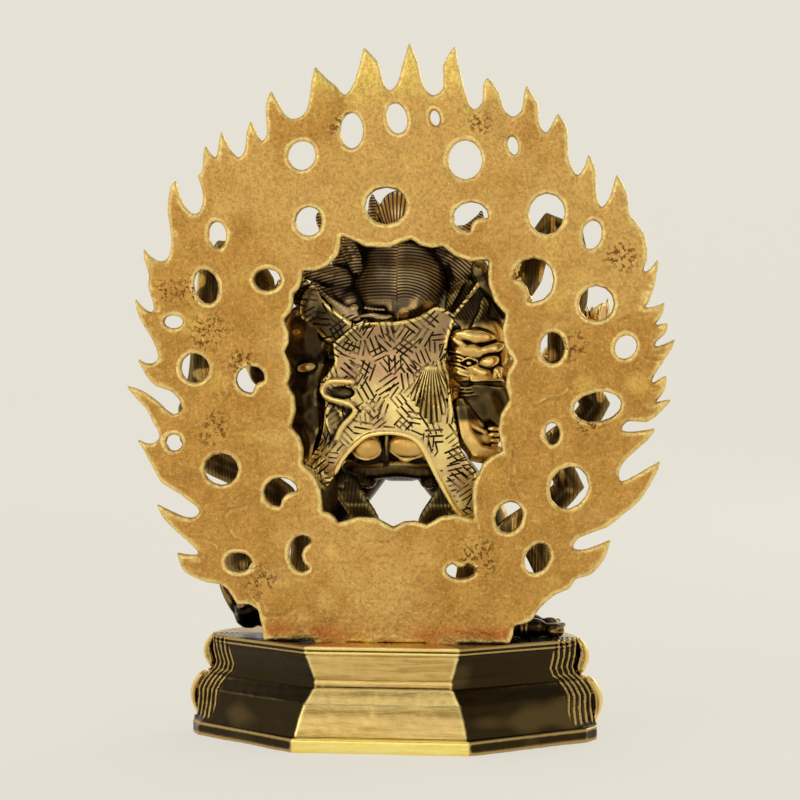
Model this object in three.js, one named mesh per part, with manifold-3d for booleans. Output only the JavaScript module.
// A cast brass guardian statue on a double lotus plinth, with a pierced flame aureole standing
// behind it in two slots of the plinth's deck. Millimetres, +Z up, the figure looks along -Y.
// The origin is on the ground, on the plinth's own axis. Left and right are the figure's own.
import * as THREE from "three";
import { mergeVertices } from "three/addons/utils/BufferGeometryUtils.js";
import Module from "manifold-3d";

const wasm = await Module();
wasm.setup();

// ---------------------------------------------------------------- driving dimensions
const GAP = 0.3; // between pieces that touch
const PLATE_X = -5.5; // the aureole's outline is drawn about a line this far to one side of the axis
const FIGURE = { x: -3, y: -5 }; // where the figure's own axis stands on the deck

const plinth = {
  frontHalfWidth: 90,
  frontMiddleY: 4,
  frontY: -52,
  sideX: 86,
  sideY: 12,
  rearHalfWidth: 38,
  rearY: 52,
  wall: 4.5,
  waistZ: 29,
  deckZ: 44.5,
  deckThickness: 3,
  petals: 13,
  frontSteps: 24,
};
const basePlate = { inset: 2.8, bottomZ: 0, topZ: 1.2 };
const aureole = { rearY: 30, thickness: 4, footZ: plinth.deckZ + GAP, bellyBulge: 0.16, curveSteps: 2 };
const tang = { x: 24, width: 14, bottomZ: 28.5 };
const stud = { x: 24, y: 4, radius: 2.5, bottomZ: 32.5, topZ: 50.5 };
const washer = { radius: 6, thickness: 1.2 };
const nut = { radius: 4.8, height: 4 };

const brass = {
  rubbed: new THREE.MeshStandardMaterial({ color: 0xc9a052, roughness: 0.5, metalness: 1 }),
  bright: new THREE.MeshStandardMaterial({ color: 0xd9b45c, roughness: 0.32, metalness: 1 }),
  dark: new THREE.MeshStandardMaterial({ color: 0x5a431f, roughness: 0.4, metalness: 1 }),
  copper: new THREE.MeshStandardMaterial({ color: 0xb8734a, roughness: 0.45, metalness: 1 }),
  steel: new THREE.MeshStandardMaterial({ color: 0x9a9a96, roughness: 0.4, metalness: 1 }),
};

// ---------------------------------------------------------------- solids and meshes
function solidOf(geometry) {
  const bare = new THREE.BufferGeometry();
  bare.setAttribute("position", geometry.getAttribute("position").clone());
  bare.setIndex(geometry.index);
  const merged = mergeVertices(bare, 1e-4);
  const made = new wasm.Manifold(
    new wasm.Mesh({
      numProp: 3,
      vertProperties: merged.attributes.position.array,
      triVerts: new Uint32Array(merged.index.array),
    }),
  );
  if (made.volume() < 0) throw new Error("a geometry is inside out");
  return made;
}

function geometryOf(solid) {
  const { numProp, vertProperties, triVerts, numVert } = solid.getMesh();
  const position = new Float32Array(numVert * 3);
  for (let i = 0; i < numVert; i++) {
    position.set(vertProperties.subarray(i * numProp, i * numProp + 3), i * 3);
  }
  const geometry = new THREE.BufferGeometry();
  geometry.setAttribute("position", new THREE.BufferAttribute(position, 3));
  geometry.setIndex(new THREE.BufferAttribute(triVerts, 1));
  geometry.computeVertexNormals();
  return geometry;
}

const joined = (solids) => solids.reduce((all, next) => all.add(next));

function largest(solid) {
  const bodies = solid.decompose().sort((a, b) => b.volume() - a.volume());
  return bodies[0];
}

// A closed skin over rings of equal length, each a list of Vector3, with flat ends.
function loft(rings) {
  const n = rings[0].length;
  const points = rings.flat();
  const faces = [];
  for (let r = 0; r + 1 < rings.length; r++) {
    for (let i = 0; i < n; i++) {
      const a = r * n + i;
      const b = r * n + ((i + 1) % n);
      faces.push(a, b, b + n, a, b + n, a + n);
    }
  }
  for (const [first, turn] of [[0, true], [(rings.length - 1) * n, false]]) {
    const middle = new THREE.Vector3();
    for (let i = 0; i < n; i++) middle.addScaledVector(points[first + i], 1 / n);
    points.push(middle);
    for (let i = 0; i < n; i++) {
      const [a, b] = [first + i, first + ((i + 1) % n)];
      faces.push(...(turn ? [b, a, points.length - 1] : [a, b, points.length - 1]));
    }
  }
  const geometry = new THREE.BufferGeometry().setFromPoints(points).setIndex(faces);
  if (signedVolume(geometry) < 0) {
    for (let i = 0; i < faces.length; i += 3) [faces[i + 1], faces[i + 2]] = [faces[i + 2], faces[i + 1]];
    geometry.setIndex(faces);
  }
  return geometry;
}

function signedVolume(geometry) {
  const p = geometry.attributes.position;
  const corner = (k) => new THREE.Vector3().fromBufferAttribute(p, geometry.index.getX(k));
  let sum = 0;
  for (let i = 0; i < geometry.index.count; i += 3) {
    sum += corner(i).dot(corner(i + 1).cross(corner(i + 2)));
  }
  return sum / 6;
}

// ---------------------------------------------------------------- rounded forms of the figure
// Each form is a function of how much it is grown, so that a neighbour can be cut back with a gap.
function ball(centre, radii, turn = [0, 0, 0], steps = [10, 7]) {
  return (grow) => {
    const made = new THREE.SphereGeometry(1, ...steps);
    made.scale(...radii.map((r) => r + grow));
    made.applyMatrix4(new THREE.Matrix4().makeRotationFromEuler(new THREE.Euler(...turn)));
    return solidOf(made.translate(...centre));
  };
}

// A round-ended limb through stations [x, y, z, radius]; flatness squeezes it along Y.
function limb(stations, { sides = 8, steps = 2, flatness = 1 } = {}) {
  return (grow) => {
    const path = new THREE.CatmullRomCurve3(stations.map(([x, y, z]) => new THREE.Vector3(x, y, z)));
    const count = (stations.length - 1) * steps;
    const rings = [];
    const ring = (t, share, beyond) => {
      const at = t * (stations.length - 1);
      const i = Math.min(Math.floor(at), stations.length - 2);
      const radius = THREE.MathUtils.lerp(stations[i][3], stations[i + 1][3], at - i) + grow;
      const along = path.getTangent(t);
      const side = new THREE.Vector3(0, 1, 0).cross(along).normalize();
      const up = along.clone().cross(side);
      const centre = path.getPoint(t).addScaledVector(along, beyond * radius * flatness);
      rings.push(
        Array.from({ length: sides }, (_, k) => {
          const angle = ((k + 0.5) / sides) * 2 * Math.PI;
          return centre
            .clone()
            .addScaledVector(side, Math.cos(angle) * radius * share)
            .addScaledVector(up, Math.sin(angle) * (radius * flatness + grow * (1 - flatness)) * share);
        }),
      );
    };
    ring(0, 0.55, -0.75);
    for (let k = 0; k <= count; k++) ring(k / count, 1, 0);
    ring(1, 0.55, 0.75);
    return solidOf(loft(rings));
  };
}

const mirrored = (side, points) => points.map(([x, ...rest]) => [side * x, ...rest]);

// ---------------------------------------------------------------- the group and its pieces
const statue = new THREE.Group();

function addPiece(name, solid, material) {
  const mesh = new THREE.Mesh(geometryOf(largest(solid).simplify(0.05)), material);
  mesh.name = name;
  statue.add(mesh);
}

const addFigurePiece = (name, solid, material) => addPiece(name, solid.translate(FIGURE.x, FIGURE.y, 0), material);

// A piece of the figure: its forms joined, then cut clear of the grown forms of its neighbours.
const forms = {};
function addForms(name, list, neighbours, material, extraCuts = []) {
  forms[name] = list;
  let made = joined(list.map((form) => form(0)));
  for (const other of neighbours) made = made.subtract(joined(forms[other].map((form) => form(GAP))));
  for (const cut of extraCuts) made = made.subtract(cut);
  addFigurePiece(name, made, material);
}

// ---------------------------------------------------------------- plinth
// Three flat facets at the back end in a step, and a wider half ellipse goes round the front.
const FRONT = "front";
const REAR = "rear";

function frontPoint(share) {
  const { frontHalfWidth, frontMiddleY, frontY } = plinth;
  const angle = Math.PI * (1 + share);
  return new THREE.Vector2(
    Math.cos(angle) * frontHalfWidth,
    frontMiddleY + Math.sin(angle) * (frontMiddleY - frontY),
  );
}

function plinthPlan() {
  const { sideX, sideY, rearHalfWidth, rearY, frontSteps } = plinth;
  const plan = [
    [sideX, sideY],
    [rearHalfWidth, rearY],
    [-rearHalfWidth, rearY],
    [-sideX, sideY],
  ].map(([x, y]) => ({ at: new THREE.Vector2(x, y), part: REAR }));
  for (let i = 0; i <= frontSteps; i++) plan.push({ at: frontPoint(i / frontSteps), part: FRONT });
  return plan;
}

const planPoint = (point, inset) => point.clone().multiplyScalar(1 - inset / point.length());

// A solid through the plan at each [rear inset, front inset, height].
function plinthLayer(levels) {
  const plan = plinthPlan();
  return solidOf(
    loft(
      levels.map(([rearInset, frontInset, z]) =>
        plan.map(({ at, part }) => {
          const p = planPoint(at, part === FRONT ? frontInset : rearInset);
          return new THREE.Vector3(p.x, p.y, z);
        }),
      ),
    ),
  );
}

// A lotus petal is a flattened ball that leans against the plinth's front at a share of its arc.
function petal(share, { inset, z, half, lean }) {
  const { frontHalfWidth, frontMiddleY, frontY } = plinth;
  const angle = Math.PI * (1 + share);
  const outward = Math.atan2(Math.sin(angle) * frontHalfWidth, Math.cos(angle) * (frontMiddleY - frontY));
  const place = planPoint(frontPoint(share), inset);
  const made = new THREE.SphereGeometry(1, 7, 5);
  made.scale(half[0], half[1], half[2]);
  made.rotateX(lean);
  made.rotateZ(outward + Math.PI / 2);
  return solidOf(made.translate(place.x, place.y, z));
}

function box(width, depth, height, x, y, z) {
  return solidOf(new THREE.BoxGeometry(width, depth, height).translate(x, y, z));
}

function upright(radius, bottomZ, topZ, x, y, sides = 12) {
  const made = new THREE.CylinderGeometry(radius, radius, topZ - bottomZ, sides);
  return solidOf(made.rotateX(Math.PI / 2).translate(x, y, (bottomZ + topZ) / 2));
}

function makePlinth() {
  const { wall, waistZ, deckZ, deckThickness, petals } = plinth;
  const profile = [
    [0, 0, 0],
    [0, 0, 6],
    [2.2, 1.8, 7],
    [4.9, 2.8, 14],
    [8, 2.8, 20],
    [11.5, 4.6, 23.5],
    [14, 7, 26.5],
    [14.7, 9.8, waistZ],
    [13.3, 10.8, 32],
    [11, 9.6, 37],
    [8.5, 9.4, 41.5],
    [8, 9.8, deckZ],
  ];
  const outer = plinthLayer(profile);
  const lower = { inset: 5.4, z: 17, half: [8.9, 3.6, 10.5], lean: -0.26 };
  const upper = { inset: 12.2, z: 36.6, half: [8.6, 3.2, 7.2], lean: 0.1 };
  const leaves = [];
  for (let i = 0; i < petals; i++) {
    leaves.push(petal((i + 0.5) / petals, lower), petal((i + 0.5) / petals, upper));
  }
  const ceiling = deckZ - deckThickness;
  const inside = [[0, 0, -1], ...profile.filter(([, , z]) => z > 0 && z < ceiling), [8.5, 9.4, ceiling]];
  const chamber = plinthLayer(inside.map(([rear, front, z]) => [rear + wall, front + wall, z]));
  const lidSeat = plinthLayer([
    [basePlate.inset - GAP, basePlate.inset - GAP, -1],
    [basePlate.inset - GAP, basePlate.inset - GAP, basePlate.topZ + GAP],
  ]);
  let made = joined([outer, ...leaves]).subtract(chamber).subtract(lidSeat);
  for (const side of [-1, 1]) {
    const slotX = side * tang.x;
    const slotY = aureole.rearY - aureole.thickness / 2;
    made = made.subtract(box(tang.width + 1, aureole.thickness + 0.8, 20, slotX, slotY, deckZ));
    made = made.subtract(upright(stud.radius + 0.4, deckZ - 10, deckZ + 5, side * stud.x, stud.y));
  }
  addPiece("plinth", made, brass.dark);
  const lid = plinthLayer([
    [basePlate.inset, basePlate.inset, basePlate.bottomZ],
    [basePlate.inset, basePlate.inset, basePlate.topZ],
  ]);
  addPiece("base_plate", lid, brass.copper);
}

function makeFastenings() {
  const underDeck = plinth.deckZ - plinth.deckThickness - GAP;
  const washerZ = underDeck - washer.thickness;
  const nutZ = washerZ - GAP - nut.height;
  for (const [hand, side] of [["left", 1], ["right", -1]]) {
    const x = side * stud.x;
    const hole = upright(stud.radius + GAP, 0, 60, x, stud.y);
    const rod = upright(stud.radius, stud.bottomZ, stud.topZ, x, stud.y);
    const ring = upright(washer.radius, washerZ, underDeck, x, stud.y, 16).subtract(hole);
    const hexagon = upright(nut.radius, nutZ, nutZ + nut.height, x, stud.y, 6).subtract(hole);
    addPiece(`figure_stud_${hand}`, rod, brass.steel);
    addPiece(`washer_${hand}`, ring, brass.steel);
    addPiece(`nut_${hand}`, hexagon, brass.steel);
  }
}

// ---------------------------------------------------------------- aureole
// Flame tips, each followed by the points of the curve that runs through the hollow to the next tip.
// The list goes clockwise as the back is seen, from the top.
const flames = [
  [[-4.5, 302.5], [-8, 294], [-10.5, 284], [-14.5, 279.5], [-19, 282.5], [-19, 292]],
  [[-24, 300], [-26, 290], [-29, 279], [-32, 273], [-36, 276.5], [-36.5, 283.5]],
  [[-38, 286.5], [-43, 280], [-44.5, 274.5], [-48.5, 270], [-52.5, 272.5], [-53.5, 279.5]],
  [[-54.5, 283.5], [-59.5, 275.5], [-60, 267], [-63, 262.5], [-65.5, 266.5]],
  [[-68, 271.5], [-72, 265], [-72.5, 252.5], [-76.5, 244.5], [-80, 250]],
  [[-81, 254], [-84, 247], [-84.5, 236.5], [-86.5, 230.5], [-90, 235], [-92, 242]],
  [[-93, 245.5], [-97.5, 237], [-98, 228.5], [-104.5, 220], [-105.5, 209.5], [-104, 203.5], [-107.5, 205]],
  [[-110.5, 208.5], [-109.5, 200], [-106.5, 191], [-104.5, 188.5], [-109, 189]],
  [[-113.5, 191], [-112.5, 186], [-110, 182.5], [-108.5, 180.5], [-111.5, 181.5]],
  [[-115, 182], [-113.5, 177.5], [-110, 174.5], [-109, 172], [-113, 173]],
  [[-118, 175.5], [-116, 170.5], [-111, 163.5], [-107.5, 156], [-111, 158]],
  [[-114, 159.5], [-113, 153.5], [-109.5, 149], [-107, 147], [-111, 148.5]],
  [[-116, 149.5], [-112, 144.5], [-106, 140], [-98, 140.5], [-95, 136.5], [-101, 136]],
  [[-110, 137.5], [-106.5, 132.5], [-98, 125], [-94, 119.5], [-95, 114.5], [-101, 117], [-106.5, 120]],
  [[-112, 124], [-109, 116.5], [-104, 108], [-96, 101], [-89, 95], [-77, 90.5], [-74.5, 86], [-80, 85.5]],
  [[-91, 90], [-88, 81.5], [-82, 74.5], [-76, 73], [-73.5, 69], [-67, 66], [-60, 59.5], [-57, 55]],
];
const rightFoot = [[-49.5, 52.5], [-49, 48.5], [-47.5, aureole.footZ]];
const leftFoot = [[59, aureole.footZ], [59.5, 50.5], [61, 58.5], [65, 61], [70.5, 60.5], [74.5, 66.5], [78, 69]];
const leftFlames = [
  [[78, 69], [84, 69.5], [91.5, 72.5], [95, 75]],
  [[97.5, 82.5], [92, 81.5], [87, 82], [91, 86], [98, 92], [104, 98]],
  [[106, 103.5], [99, 100], [91, 97.5], [87, 100.5], [94, 107], [104, 113.5], [108.5, 121.5]],
  [[115, 132], [111, 130], [107.5, 130], [104.5, 133], [107.5, 139], [110.5, 145], [115, 150]],
  [[119.5, 155], [113, 153], [105.5, 148], [99, 142.5], [94.5, 145], [99, 152.5], [106, 155], [110.5, 159]],
  [[115, 167.5], [111.5, 165], [107.5, 165], [105.5, 167], [106, 170], [108.5, 176], [112, 181.5], [114.5, 187]],
  [[115.5, 193], [111.5, 188.5], [108.5, 187], [107, 188.5], [108, 192.5], [110, 198.5], [109.5, 203], [111.5, 210]],
  [[112, 215], [108.5, 211], [104, 209], [100.5, 211], [99.5, 219.5], [101, 230.5], [100, 241]],
  [[97.5, 244.5], [95, 235.5], [91, 230], [87.5, 229.5], [85.5, 234], [86, 240]],
  [[88, 246.5], [86, 247], [85.5, 254.5]],
  [[84.5, 259.5], [82, 255.5], [79.5, 253.5], [78.5, 260]],
  [[77.5, 265.5], [74.5, 259.5], [70, 253.5], [67, 256], [66.5, 264]],
  [[64.5, 270], [62, 264.5], [59.5, 260.5], [57, 263.5], [57.5, 272.5], [57, 278]],
  [[55.5, 282.5], [52.5, 277], [49.5, 272], [46.5, 270], [41, 272], [39, 277], [38, 286]],
  [[36.5, 293], [31.5, 287.5], [27, 284], [23.5, 280], [19.5, 285.5], [17, 293]],
  [[15, 300], [9.5, 294], [7.5, 287], [4.5, 281.5], [0.5, 284.5], [-1.5, 292]],
];

// The scalloped opening: cusps, with a lobe of the plate swelling between one and the next.
const cusps = [
  [25, 220], [-5.5, 218.5], [-19, 215.5], [-38.5, 209], [-46, 186], [-49.5, 166], [-47.5, 149.5], [-45, 127.5],
  [-34, 117], [-32.5, 98], [-12, 95.5], [2.5, 94.5], [26.5, 96], [33, 101], [42, 121.5], [47, 137.5], [48.5, 156],
  [50, 170], [50, 184], [46, 195], [42, 205], [28, 210],
];

// Pierced holes: [x, z, half width, half height, turn]; a fifth number turns the ellipse.
const holes = [
  [42, 254.5, 6.3, 6.7], [20.5, 265, 5, 7.8], [1, 270, 4.5, 7, 0.25], [39, 226, 6, 6.5], [5.5, 232.5, 9.5, 8],
  [79, 220.5, 4, 6, 0.15], [84, 198, 5.5, 8, 0.3], [98.5, 183, 4.5, 3], [57, 201, 6.2, 5], [89, 163, 6.5, 6.5],
  [64.5, 158, 6.5, 6], [98.5, 130.5, 3.8, 3.8], [77.5, 119, 7.6, 7], [51.5, 109, 7.5, 6.5], [42, 82.5, 6, 8],
  [70, 78.5, 6, 4.3], [-28.5, 252, 7.5, 8.5], [-15.5, 270, 2, 3.5, 0.2], [-49, 257.5, 2.5, 4.5, 0.2],
  [-31, 227.5, 8, 6.5], [-63.5, 228.5, 8, 9], [-82.5, 219.5, 4.5, 6.5, -0.2], [-57.5, 200.5, 9, 9.5],
  [-84.5, 190.5, 7.5, 7.5], [-66, 171.5, 5.5, 7], [-97, 172, 4.8, 5.5, -0.5], [-85, 146.5, 10.5, 6.4, 0.2],
  [-66, 135, 3.5, 5], [-73, 112, 8.5, 9.5, -0.5], [-47.5, 99, 6, 7, -0.5], [-59.5, 81.5, 5.2, 7, -0.5],
  [-26.5, 76, 6.5, 3.5],
];
// Lobes of metal left standing in a hole: [x, z, radius].
const holeLobes = [
  [58.5, 152, 5], [45, 103, 6.5], [36, 82, 6], [-36, 222, 5], [-49, 194, 7], [-26.5, 80.5, 3.4],
];

// Each curve is smooth through its own points, and the tips stay sharp.
function aureoleOutline() {
  const point = ([x, z]) => new THREE.Vector3(x, z, 0);
  const shape = new THREE.Shape();
  const lineTo = ([x, z]) => shape.lineTo(x, z);
  const curveTo = (points) => {
    const curve = new THREE.CatmullRomCurve3(points.map(point), false, "centripetal");
    const steps = (points.length - 1) * aureole.curveSteps;
    for (let i = 1; i <= steps; i++) {
      const p = curve.getPoint(i / steps);
      shape.lineTo(p.x, p.y);
    }
  };
  shape.moveTo(...flames[0][0]);
  flames.forEach((points, i) => curveTo([...points, flames[i + 1] ? flames[i + 1][0] : rightFoot[0]]));
  [...rightFoot.slice(1), ...leftFoot].forEach(lineTo);
  leftFlames.forEach((points, i) => curveTo([...points, (leftFlames[i + 1] ?? flames[0])[0]]));
  return shape;
}

function openingOutline() {
  const shape = new THREE.Path();
  const middle = new THREE.Vector2(1, 158);
  const points = cusps.map(([x, z]) => new THREE.Vector2(x, z));
  shape.moveTo(points[0].x, points[0].y);
  points.forEach((from, i) => {
    const to = points[(i + 1) % points.length];
    const half = from.clone().add(to).multiplyScalar(0.5);
    const swell = middle.clone().sub(half).setLength(from.distanceTo(to) * 2 * aureole.bellyBulge);
    shape.quadraticCurveTo(half.x + swell.x, half.y + swell.y, to.x, to.y);
  });
  return shape;
}

// A prism through the plate, from an ellipse in the plate's own plane.
function throughPlate(x, z, halfWidth, halfHeight, turn = 0, sides = 12) {
  const made = new THREE.CylinderGeometry(1, 1, aureole.thickness + 4, sides);
  made.scale(halfWidth, 1, halfHeight).rotateY(turn);
  return solidOf(made.translate(x, aureole.rearY - aureole.thickness / 2, z));
}

function makeAureole() {
  const outline = aureoleOutline();
  outline.holes.push(openingOutline());
  const plate = new THREE.ExtrudeGeometry(outline, {
    depth: aureole.thickness,
    bevelEnabled: false,
    curveSegments: 3,
  });
  plate.rotateX(Math.PI / 2).translate(0, aureole.rearY, 0);
  const lobes = holeLobes.map(([x, z, radius]) => throughPlate(x, z, radius, radius));
  const cuts = joined(holes.map((hole) => throughPlate(...hole))).subtract(joined(lobes));
  const tangHeight = aureole.footZ - tang.bottomZ + 1;
  const tangs = [-1, 1].map((side) =>
    box(
      tang.width,
      aureole.thickness,
      tangHeight,
      side * tang.x - PLATE_X,
      aureole.rearY - aureole.thickness / 2,
      tang.bottomZ + tangHeight / 2,
    ),
  );
  const made = joined([solidOf(indexed(plate)), ...tangs]).subtract(cuts);
  addPiece("aureole", made.translate(PLATE_X, 0, 0), brass.rubbed);
}

// ExtrudeGeometry has no index, so its own corners are numbered before it is merged.
function indexed(geometry) {
  const count = geometry.getAttribute("position").count;
  return geometry.setIndex(Array.from({ length: count }, (_, i) => i));
}

// ---------------------------------------------------------------- the figure's own castings
function makeBody() {
  const torso = [
    ball([0, -3, 146], [23, 17, 19], [0, 0, 0], [14, 9]),
    ball([0, 3, 164], [23, 15, 15], [0, 0, 0], [12, 8]),
    limb([[-21, 4, 173, 8.5], [0, 4, 175, 9], [21, 4, 173, 8.5]]),
    limb([[0, 1, 174, 8], [0, -2, 183, 7]]),
  ];
  addForms("torso", torso, [], brass.bright);

  const hips = [
    ball([0, 3, 126], [23, 15, 14], [0, 0, 0], [14, 8]),
    ball([10, 14, 125], [10, 5, 7]),
    ball([-10, 14, 125], [10, 5, 7]),
  ];
  addForms("loincloth", hips, ["torso"], brass.bright);

  for (const [hand, side] of [["left", 1], ["right", -1]]) {
    const leg = [
      limb(
        mirrored(side, [
          [14, 2, 123, 11.5],
          [23, -1, 112, 12],
          [32, -6, 101, 11],
          [38, -10, 92, 9.5],
          [37, -7, 81, 8.5],
          [34, -2, 70, 6],
          [34, -1, 64, 5.5],
        ]),
        { steps: 1 },
      ),
      ball([side * 36, -8, 63.5], [6, 13, 5], [0, 0, side * 0.15]),
    ];
    addForms(`leg_${hand}`, leg, ["torso", "loincloth"], brass.bright);
  }
}

function makeHead() {
  const head = [
    ball([0, -5, 197], [14.5, 16, 17.5], [0, 0, 0], [14, 9]),
    ball([0, -10, 187], [10.5, 9.5, 9.5]),
    ball([14.5, -4, 193], [2.4, 3.4, 6]),
    ball([-14.5, -4, 193], [2.4, 3.4, 6]),
  ];
  addForms("head", head, ["torso"], brass.bright);

  // The hair stands up in flame locks round a combed cap: [tip x, tip z, root x, root z, root radius].
  const locks = [
    [0, 243, 0, 208, 10], [12, 238, 7, 208, 9], [23, 230, 12, 206, 8.5], [36, 231, 14, 203, 9], [37, 206, 16, 197, 7],
  ];
  const hair = [ball([0, 7, 199], [22.5, 17, 21], [0, 0, 0], [14, 9])];
  locks.forEach(([tipX, tipZ, rootX, rootZ, radius], i) => {
    for (const side of i ? [1, -1] : [1]) {
      const [midX, midZ] = [(tipX + rootX) / 2 + 2, (tipZ + rootZ) / 2];
      hair.push(
        limb(
          mirrored(side, [
            [rootX, 8, rootZ, radius],
            [midX, 8.5, midZ, radius * 0.75],
            [tipX, 10, tipZ - 1, 0.9],
          ]),
          { sides: 6, steps: 1, flatness: 0.6 },
        ),
      );
    }
  });
  addForms("hair", hair, ["head", "torso"], brass.bright);

  const crown = [];
  const band = [];
  for (let i = 0; i <= 8; i++) {
    const angle = (-100 + i * 25) * (Math.PI / 180);
    band.push([Math.sin(angle) * 15.5, -5 - Math.cos(angle) * 16.5, 204, 1.7]);
  }
  crown.push(limb(band, { sides: 6, steps: 1 }));
  for (const degrees of [-76, -38, 0, 38, 76]) {
    const angle = (degrees * Math.PI) / 180;
    const centre = [Math.sin(angle) * 15.8, -5 - Math.cos(angle) * 16.8, 209];
    crown.push(ball(centre, [4, 1.5, 7], [0, 0, angle], [6, 6]));
  }
  addForms("crown", crown, ["head", "hair"], brass.bright);

  for (const [hand, side] of [["left", 1], ["right", -1]]) {
    const ring = new THREE.TorusGeometry(3.4, 1.1, 6, 12).rotateY(Math.PI / 2);
    ring.translate(side * 17, -5, 184.5);
    forms.ears = [ball([side * 14.5, -4, 193], [2.4, 3.4, 6])];
    const made = solidOf(ring).subtract(joined(forms.ears.map((form) => form(GAP))));
    addFigurePiece(`earring_${hand}`, made, brass.bright);
  }
}

function makeArms() {
  // Each arm's own stations [x, y, z, radius] and then its fist, for the left side.
  const arms = {
    upper: [[24, 5, 174, 8], [39, 8, 175, 7.2], [52, 9, 179, 6.3], [50, 12, 191, 5.4], [43, 15, 200, 4.4],
      [42, 16, 204.5, 4.6]],
    middle: [[25, 0, 169, 8], [41, -3, 164, 7], [55, -4, 156.5, 6.2], [66, -6, 161, 5.6], [74, -8, 173, 4],
      [77, -9, 178, 4.8]],
    front: [[24, -4, 163, 7.5], [35, -8, 155, 7.2], [39, -12, 145, 6.5], [31, -21, 144, 5.6], [20, -28, 149, 4.2],
      [15, -30.5, 151, 5]],
  };
  // How far the hand ends of a pair differ from those stations: [x, z].
  const reach = {
    upper: { left: [5, -1], right: [-6, 1] },
    middle: { left: [-2, 2], right: [6, -3] },
    front: { left: [0, 0], right: [0, 7] },
  };
  for (const [hand, side] of [["left", 1], ["right", -1]]) {
    for (const [name, stations] of Object.entries(arms)) {
      const [outward, lift] = reach[name][hand];
      const placed = stations.map(([x, y, z, r], i) => {
        const share = Math.max(0, Math.min(1, (i - 2) / 2));
        return [side * (x + outward * share), y, z + lift * share, r];
      });
      const [x, y, z, size] = placed.pop();
      const list = [limb(placed), ball([x, y, z], [size, size * 0.85, size * 1.1])];
      const neighbours = ["torso", "hair", "loincloth"];
      if (name !== "upper") neighbours.push(`upper_arm_${hand}`);
      if (name === "front") neighbours.push(`middle_arm_${hand}`);
      addForms(`${name}_arm_${hand}`, list, neighbours, brass.bright);
    }
  }
}

const everyArm = ["upper", "middle", "front"].flatMap((n) => [`${n}_arm_left`, `${n}_arm_right`]);

// ---------------------------------------------------------------- the hide on the figure's back
const hideRearY = (x) => 24 - 0.0045 * x * x;

// A slab of hide through rows [left x, left z, right x, right z], curved round the back.
function hideSlab(rows, thickness = 5, steps = 6) {
  return (grow) => {
    const rings = rows.map(([leftX, leftZ, rightX, rightZ]) => {
      const at = (share, inward) => {
        const x = THREE.MathUtils.lerp(leftX, rightX, share);
        const z = THREE.MathUtils.lerp(leftZ, rightZ, share);
        return new THREE.Vector3(x, hideRearY(x) + grow - inward, z);
      };
      const outer = Array.from({ length: steps + 1 }, (_, k) => at(k / steps, 0));
      const inner = Array.from({ length: steps + 1 }, (_, k) => at(1 - k / steps, thickness + 2 * grow));
      return [...outer, ...inner];
    });
    return solidOf(loft(rings));
  };
}

function makeHide() {
  const hide = [
    hideSlab([
      [27, 178, -24, 183],
      [29, 170, -22, 172],
      [30, 160, -20, 160],
      [29, 150, -22, 148],
      [26, 140, -24, 140],
      [22, 134, -20, 133],
    ]),
    hideSlab([[29, 150, 14, 138], [33, 138, 19, 129], [38, 124, 27, 117], [41, 112, 32, 108]], 5, 3),
    hideSlab([[-12, 138, -25, 146], [-18, 128, -28, 132], [-23, 114, -33, 117], [-28, 96, -38, 100]], 5, 3),
    hideSlab([[30, 172, 20, 182], [42, 186, 33, 193], [52, 200, 44, 205]], 5, 2),
    hideSlab([[-19, 183, -27, 172], [-27, 195, -35, 187], [-32, 206, -40, 203]], 5, 2),
  ];
  const body = ["torso", "loincloth", "hair", "leg_left", "leg_right", ...everyArm];
  addForms("hide", hide, body, brass.bright);

  const head = [
    ball([-36, 14, 160], [10, 6.5, 8.5], [0, 0, 0], [12, 8]),
    ball([-32, 17, 170], [8.5, 4, 4.5], [0, -0.2, 0]),
    limb([[-41, 15, 157, 4.6], [-47, 14, 152, 3.6], [-48, 13, 144, 2.8], [-45, 13, 139, 2.2]], { sides: 6 }),
    ball([-37, 13.4, 172], [12.5, 5, 14], [0, 0, 0], [12, 8]),
    ball([-30.5, 14.5, 191], [10.5, 4.6, 11.5], [0, 0.2, 0], [12, 8]),
    ball([-36, 12.5, 149], [11, 5, 12], [0, 0, 0], [12, 8]),
  ];
  addForms("hide_head", head, ["torso", "hair", "hide", ...everyArm], brass.bright);

  const foot = [
    limb([[-28, 15, 146, 5.5], [-30, 15, 135, 6], [-35, 14.5, 127, 6.4], [-43, 14, 125, 5.4]], { steps: 1 }),
    ball([-47.5, 14, 124], [2.4, 4.6, 4.8]),
  ];
  const footNear = ["torso", "loincloth", "leg_right", "hide", "hide_head", ...everyArm];
  addForms("hide_foot", foot, footNear, brass.bright);

  const flank = [
    limb([[35, 13, 165, 6], [39, 13, 152, 7.5], [38, 13, 136, 7], [35, 14, 118, 5.5]], { flatness: 0.75 }),
    ball([41, 13, 176], [13, 5, 18], [0, -0.25, 0], [12, 8]),
    ball([42, 13, 148], [11, 5, 19], [0, 0, 0], [12, 8]),
    ball([38, 13, 125], [9, 4.6, 13], [0, 0, 0], [12, 8]),
  ];
  addForms("hide_flank", flank, ["torso", "loincloth", "leg_left", "hair", "hide", ...everyArm], brass.dark);

  const tail = [
    limb([[-17, 23.5, 161, 1.8], [-15.5, 24, 155, 3], [-12, 24.6, 143, 6.8]], { sides: 8, flatness: 0.4 }),
  ];
  addForms("hide_tail", tail, ["hide"], brass.bright);
}

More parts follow.
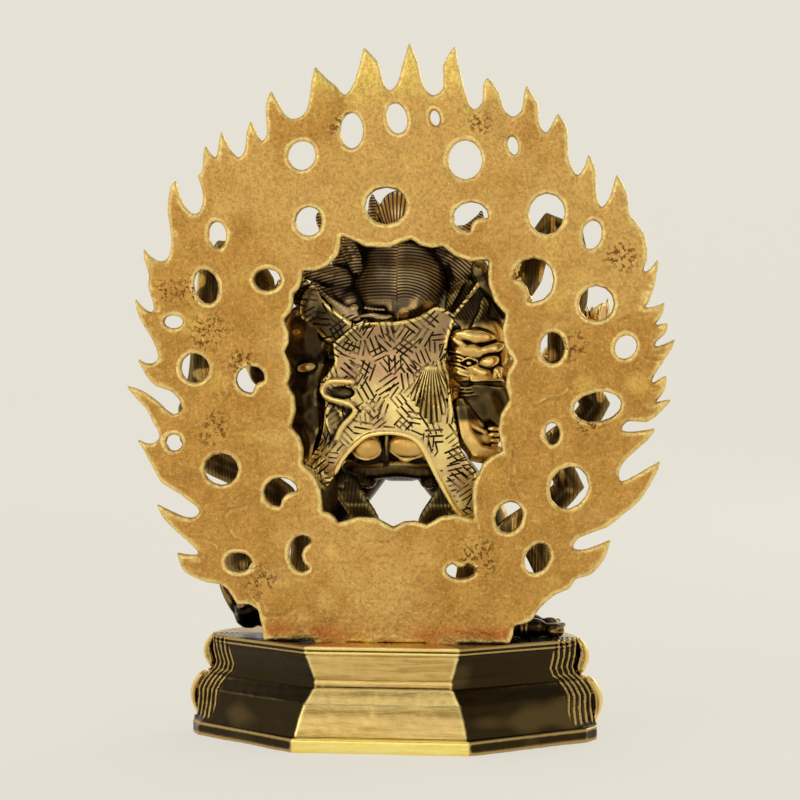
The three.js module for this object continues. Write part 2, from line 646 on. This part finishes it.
// ---------------------------------------------------------------- what the figure wears and holds
function makeOrnaments() {
  const near = ["torso", "head", "hair", "loincloth", "leg_left", "leg_right", ...everyArm];
  const half = [[12.6, -3.5, 178.5, 1.6], [12, -10, 173, 1.8], [7, -13.5, 167, 1.8]];
  const necklace = [limb([...half, [0, -14.5, 164, 2], ...mirrored(-1, half).reverse()], { sides: 6 })];
  addForms("necklace", necklace, near, brass.bright);

  const strand = [[19, -7, 172, 2.2], [20, -11.5, 160, 2.4], [22, -13, 148, 2.4], [19, -15, 135, 2.5], [11, -17.5, 124, 2.6]];
  const garland = [limb([...strand, [0, -19, 118, 2.8], ...mirrored(-1, strand).reverse()], { sides: 6, steps: 1 })];
  addForms("garland", garland, [...near, "necklace"], brass.bright);

  const bowl = [
    ball([7, -33, 160], [7.5, 7, 6.5], [0, 0, 0], [12, 8]),
    ball([7, -33, 163.5], [5.6, 5.2, 4.5]),
  ];
  addForms("offering_bowl", bowl, ["front_arm_left", "front_arm_right", "torso", "necklace"], brass.bright);

  const blade = new THREE.Shape();
  blade.absarc(0, 0, 9, Math.PI * 1.05, Math.PI * 1.95, false);
  blade.absarc(0, 3.2, 8.9, Math.PI * 1.86, Math.PI * 1.14, true);
  const knife = new THREE.ExtrudeGeometry(blade, { depth: 1.6, bevelEnabled: false, curveSegments: 10 });
  knife.rotateX(Math.PI / 2).rotateY(0.35).translate(-17, -32, 178);
  const grip = upright(1.6, -9, 8, 0, 0, 8).translate(0, 0, 0);
  const held = joined([
    solidOf(indexed(knife)),
    grip.translate(-16, -32.6, 169),
    ball([-16, -32.6, 161], [2.4, 2.4, 2.4])(0),
  ]);
  const hand = joined(forms.front_arm_right.map((form) => form(GAP)));
  addFigurePiece("curved_knife", held.subtract(hand), brass.bright);

  const drumProfile = [[0, -8], [6.5, -8], [7, -6.8], [2.4, 0], [7, 6.8], [6.5, 8], [0, 8]];
  const drum = new THREE.LatheGeometry(
    drumProfile.map(([r, h]) => new THREE.Vector2(r, h)),
    12,
  );
  drum.rotateZ(Math.PI / 2 - 0.3).translate(-82, -10, 185);
  const drumSolid = solidOf(drum).subtract(joined(forms.middle_arm_right.map((form) => form(GAP))));
  addFigurePiece("hand_drum", drumSolid, brass.bright);

  const sceptreProfile = [
    [0, -15], [2.2, -13.5], [3.6, -10], [1.6, -5], [1.8, 6], [2.6, 10], [1.6, 15], [3.6, 20], [4.4, 27], [2.8, 35], [0, 42],
  ];
  const sceptre = new THREE.LatheGeometry(
    sceptreProfile.map(([r, h]) => new THREE.Vector2(r, h)),
    8,
  );
  sceptre.rotateX(Math.PI / 2).rotateY(-0.03).translate(74.5, -14.5, 187);
  const sceptreSolid = solidOf(sceptre).subtract(joined(forms.middle_arm_left.map((form) => form(GAP))));
  addFigurePiece("sceptre", sceptreSolid, brass.bright);
}

function makeScarves() {
  const near = [...everyArm, "leg_left", "leg_right", "hide", "hide_head", "hide_foot", "hide_flank"];
  // Each scarf is one long ribbon and a short loose end.
  const ribbons = {
    scarf_left: [
      [
        [57, 13, 187, 5], [61, 11, 200, 7], [70, 9, 212, 7.5], [79, 8, 214, 7.5], [85, 7, 203, 7.5], [85, 7, 188, 7.5],
        [87, 7, 173, 7.5], [90, 6, 158, 7], [94, 5, 144, 7], [94, 5, 132, 7], [87, 5, 122, 7.5], [76, 5, 117, 7.5],
        [63, 5, 112, 7.5], [52, 6, 105, 7.5], [45, 7, 94, 7], [43, 7, 82, 7], [46, 7, 71, 5],
      ],
      [[63, 4, 112, 6], [66, 4, 98, 6.5], [70, 4, 83, 7.5], [75, 4, 72, 6]],
    ],
    scarf_right: [
      [
        [-52, 13, 192, 5], [-57, 11, 203, 7.5], [-60, 9, 215, 7.5], [-66, 7, 225, 7.5], [-75, 6, 220, 7.5],
        [-78, 6, 206, 7], [-76, 6, 191, 7], [-71, 6, 178, 7.5], [-71, 6, 167, 7.5], [-79, 5, 156, 7.5],
        [-86, 4, 147, 8], [-79, 4, 137, 7.5], [-69, 4, 131, 7.5], [-69, 4, 121, 7.5], [-75, 4, 111, 8],
        [-66, 5, 102, 7.5], [-53, 7, 94, 7], [-41, 9, 85, 6.5], [-31, 10, 76, 7], [-27, 10, 68, 4],
      ],
      [[-70, 4, 107, 6], [-62, 3, 94, 6.5], [-60, 3, 82, 6.5], [-64, 3, 72, 5]],
    ],
  };
  for (const [name, paths] of Object.entries(ribbons)) {
    addForms(name, paths.map((path) => limb(path, { sides: 6, steps: 1, flatness: 0.3 })), near, brass.dark);
  }
}

function makeTrampledFigure() {
  const lying = [
    ball([6, 4, 52], [38, 14, 7.2], [0, 0, 0], [14, 8]),
    ball([52, 5, 50.5], [14, 8, 5.8]),
    ball([68, 6, 52.5], [7, 7, 6.5], [0, 0, 0], [10, 8]),
    ball([80, 4, 47.5], [4.6, 5, 4]),
    limb([[72, 6, 54, 3.4], [75, 6, 57, 2.8], [78, 6, 61.5, 2.3], [80.5, 5, 66, 1.7]], { sides: 6 }),
    limb([[-24, 8, 51, 5.8], [-44, 8, 50.2, 5.4], [-62, 8, 48.5, 4.2]], { steps: 1 }),
    limb([[-24, -5, 51, 5.6], [-42, -7, 50.2, 5.4], [-60, -6, 48.7, 4.2]], { steps: 1 }),
    ball([-68, 8, 47.5], [5, 4.6, 3.6]),
    ball([-65.5, -6, 48], [5, 4.4, 4]),
  ];
  const underside = box(200, 100, 10, 0, 0, plinth.deckZ + GAP - 5);
  const bores = [-1, 1].map((side) =>
    upright(stud.radius + GAP, 40, stud.topZ + GAP, side * stud.x - FIGURE.x, stud.y - FIGURE.y),
  );
  addForms("trampled_figure", lying, ["leg_left", "leg_right", "scarf_left"], brass.dark, [underside, ...bores]);
}

makePlinth();
makeFastenings();
makeAureole();
makeBody();
makeHead();
makeArms();
makeHide();
makeOrnaments();
makeScarves();
makeTrampledFigure();

export default statue;
